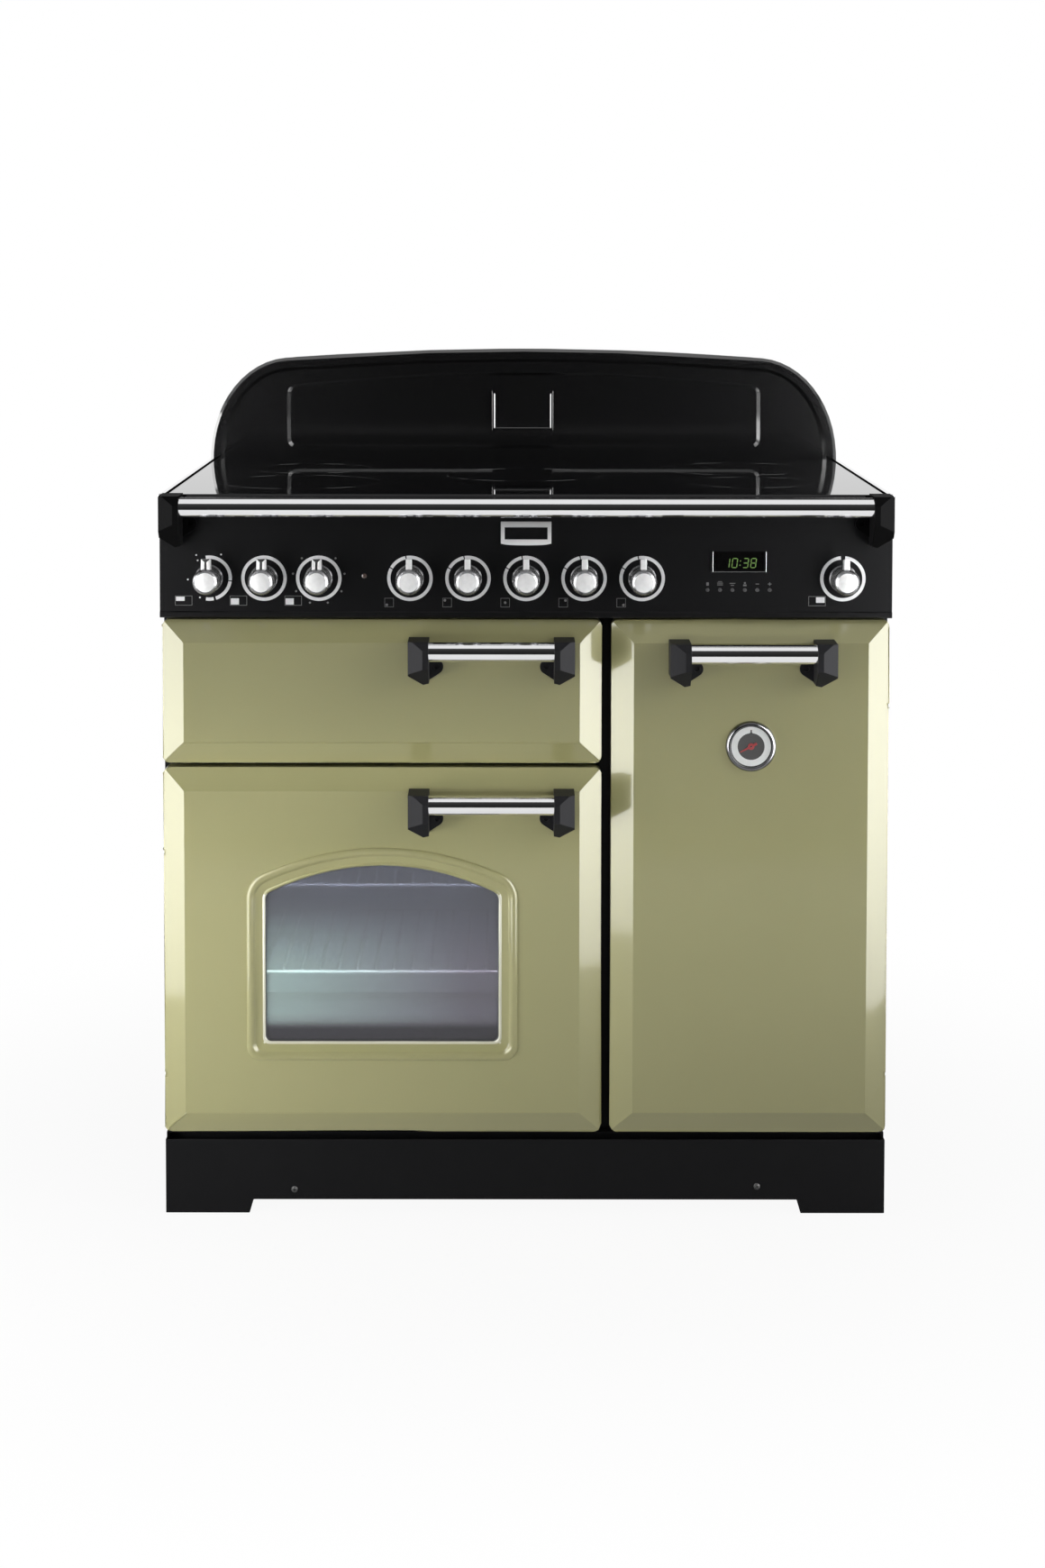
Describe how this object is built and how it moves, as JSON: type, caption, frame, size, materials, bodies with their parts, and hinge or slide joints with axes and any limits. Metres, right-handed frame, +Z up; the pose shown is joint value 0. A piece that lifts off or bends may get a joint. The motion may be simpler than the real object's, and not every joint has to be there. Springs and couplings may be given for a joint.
{
  "type": "range cooker",
  "caption": "Free-standing electric range cooker with a glass hob, a drop-down grill door, a side-hung oven door with an arched window, a tall side-hung oven door and a splashback.",
  "frame": {"origin": "middle of the footprint of the whole cooker, handles included, on the floor", "axes": "+Z up, -Y towards the person who cooks, +X to that person's right"},
  "size_m": [0.9, 0.66, 1.056],
  "materials": {
    "green_enamel": "gloss enamel",
    "black_enamel": "gloss enamel",
    "black_metal": "satin",
    "cavity_enamel": "speckled enamel",
    "sheet_steel": "galvanised sheet",
    "polished_chrome": "polished",
    "hob_glass": "polished black",
    "oven_glass": "clear",
    "black_plastic": "matte",
    "pale_plastic": "matte",
    "seal_rubber": "matte",
    "copper_coil": "wound wire",
    "heater_metal": "heat darkened",
    "needle_red": "painted red",
    "lamp_lens": "clear red"
  },
  "bodies": {
    "carcass": {"base_frame": "sheet_steel", "side_panels": "black_metal", "rear_panel": "sheet_steel", "front_frame": "black_enamel", "plinth": "black_metal", "levelling_feet": "sheet_steel", "terminal_box": "black_plastic", "door_hinges": "sheet_steel", "door_seals": "seal_rubber", "grill_cavity": "cavity_enamel", "grill_element": "heater_metal", "oven_cavity": "cavity_enamel", "oven_fan_cover": "cavity_enamel", "oven_fan_motor": "sheet_steel", "tall_oven_cavity": "cavity_enamel", "hob_tray": "sheet_steel", "heating_coils": "copper_coil", "hob_glass": "hob_glass", "hob_trims": "polished_chrome", "control_panel": "black_enamel", "control_switches": "pale_plastic", "clock_display": "black_plastic", "indicator_lamp": "lamp_lens", "handrail_bar": "polished_chrome", "handrail_brackets": "black_metal", "splashback": "black_enamel"},
    "grill_door": {"grill_door": "green_enamel", "grill_door_liner": "cavity_enamel", "grill_handle_bar": "polished_chrome", "grill_handle_brackets": "black_metal"},
    "oven_door": {"oven_door": "green_enamel", "oven_door_liner": "cavity_enamel", "oven_door_glass": "oven_glass", "oven_handle_bar": "polished_chrome", "oven_handle_brackets": "black_metal"},
    "tall_door": {"tall_door": "green_enamel", "tall_door_liner": "cavity_enamel", "tall_handle_bar": "polished_chrome", "tall_handle_brackets": "black_metal", "thermometer": "polished_chrome"},
    "knob_grill": {"knob_grill": "polished_chrome"},
    "knob_oven_function": {"knob_oven_function": "polished_chrome"},
    "knob_oven_heat": {"knob_oven_heat": "polished_chrome"},
    "knob_hob_1": {"knob_hob_1": "polished_chrome"},
    "knob_hob_2": {"knob_hob_2": "polished_chrome"},
    "knob_hob_3": {"knob_hob_3": "polished_chrome"},
    "knob_hob_4": {"knob_hob_4": "polished_chrome"},
    "knob_hob_5": {"knob_hob_5": "polished_chrome"},
    "knob_tall_oven": {"knob_tall_oven": "polished_chrome"},
    "clock_button_1": {"clock_button_1": "black_plastic"},
    "clock_button_2": {"clock_button_2": "black_plastic"},
    "clock_button_3": {"clock_button_3": "black_plastic"},
    "clock_button_4": {"clock_button_4": "black_plastic"},
    "clock_button_5": {"clock_button_5": "black_plastic"},
    "clock_button_6": {"clock_button_6": "black_plastic"},
    "thermometer_needle": {"thermometer_needle": "needle_red"},
    "oven_shelf_lower": {"oven_shelf_lower": "polished_chrome"},
    "oven_shelf_upper": {"oven_shelf_upper": "polished_chrome"},
    "grill_pan": {"grill_pan": "cavity_enamel"},
    "oven_fan": {"oven_fan": "sheet_steel"}
  },
  "joints": [
    {"name": "grill_door_hinge", "type": "hinge", "parent": "carcass", "child": "grill_door", "pos_m": [-0.1765, -0.2555, 0.586], "axis": [1, 0, 0], "range_deg": [0, 90]},
    {"name": "oven_door_hinge", "type": "hinge", "parent": "carcass", "child": "oven_door", "pos_m": [-0.437, -0.254, 0.334], "axis": [0, 0, -1], "range_deg": [0, 100]},
    {"name": "tall_door_hinge", "type": "hinge", "parent": "carcass", "child": "tall_door", "pos_m": [0.437, -0.254, 0.4255], "axis": [0, 0, 1], "range_deg": [0, 100]},
    {"name": "knob_grill_turn", "type": "hinge", "parent": "carcass", "child": "knob_grill", "pos_m": [-0.3875, -0.27, 0.7955], "axis": [0, 1, 0], "range_deg": [0, 240]},
    {"name": "knob_oven_function_turn", "type": "hinge", "parent": "carcass", "child": "knob_oven_function", "pos_m": [-0.3205, -0.27, 0.7955], "axis": [0, 1, 0], "range_deg": [0, 300]},
    {"name": "knob_oven_heat_turn", "type": "hinge", "parent": "carcass", "child": "knob_oven_heat", "pos_m": [-0.2535, -0.27, 0.7955], "axis": [0, 1, 0], "range_deg": [0, 250]},
    {"name": "knob_hob_1_turn", "type": "hinge", "parent": "carcass", "child": "knob_hob_1", "pos_m": [-0.142, -0.27, 0.7955], "axis": [0, 1, 0], "range_deg": [0, 270]},
    {"name": "knob_hob_2_turn", "type": "hinge", "parent": "carcass", "child": "knob_hob_2", "pos_m": [-0.071, -0.27, 0.7955], "axis": [0, 1, 0], "range_deg": [0, 270]},
    {"name": "knob_hob_3_turn", "type": "hinge", "parent": "carcass", "child": "knob_hob_3", "pos_m": [0, -0.27, 0.7955], "axis": [0, 1, 0], "range_deg": [0, 270]},
    {"name": "knob_hob_4_turn", "type": "hinge", "parent": "carcass", "child": "knob_hob_4", "pos_m": [0.071, -0.27, 0.7955], "axis": [0, 1, 0], "range_deg": [0, 270]},
    {"name": "knob_hob_5_turn", "type": "hinge", "parent": "carcass", "child": "knob_hob_5", "pos_m": [0.142, -0.27, 0.7955], "axis": [0, 1, 0], "range_deg": [0, 270]},
    {"name": "knob_tall_oven_turn", "type": "hinge", "parent": "carcass", "child": "knob_tall_oven", "pos_m": [0.3875, -0.27, 0.7955], "axis": [0, 1, 0], "range_deg": [0, 250]},
    {"name": "clock_button_1_press", "type": "slide", "parent": "carcass", "child": "clock_button_1", "axis": [0, 1, 0], "range_m": [0, 0.001], "stiffness_N_per_m": 500},
    {"name": "clock_button_2_press", "type": "slide", "parent": "carcass", "child": "clock_button_2", "axis": [0, 1, 0], "range_m": [0, 0.001], "stiffness_N_per_m": 500},
    {"name": "clock_button_3_press", "type": "slide", "parent": "carcass", "child": "clock_button_3", "axis": [0, 1, 0], "range_m": [0, 0.001], "stiffness_N_per_m": 500},
    {"name": "clock_button_4_press", "type": "slide", "parent": "carcass", "child": "clock_button_4", "axis": [0, 1, 0], "range_m": [0, 0.001], "stiffness_N_per_m": 500},
    {"name": "clock_button_5_press", "type": "slide", "parent": "carcass", "child": "clock_button_5", "axis": [0, 1, 0], "range_m": [0, 0.001], "stiffness_N_per_m": 500},
    {"name": "clock_button_6_press", "type": "slide", "parent": "carcass", "child": "clock_button_6", "axis": [0, 1, 0], "range_m": [0, 0.001], "stiffness_N_per_m": 500},
    {"name": "thermometer_needle_turn", "type": "hinge", "parent": "tall_door", "child": "thermometer_needle", "pos_m": [0.2755, -0.282, 0.5905], "axis": [0, 1, 0], "range_deg": [0, 270]},
    {"name": "oven_shelf_lower_slide", "type": "slide", "parent": "carcass", "child": "oven_shelf_lower", "axis": [0, -1, 0], "range_m": [0, 0.018]},
    {"name": "oven_shelf_upper_slide", "type": "slide", "parent": "carcass", "child": "oven_shelf_upper", "axis": [0, -1, 0], "range_m": [0, 0.018]},
    {"name": "grill_pan_slide", "type": "slide", "parent": "carcass", "child": "grill_pan", "axis": [0, -1, 0], "range_m": [0, 0.018]},
    {"name": "oven_fan_spin", "type": "hinge", "parent": "carcass", "child": "oven_fan", "pos_m": [-0.1765, 0.15, 0.3325], "axis": [0, 1, 0], "continuous": true}
  ]
}
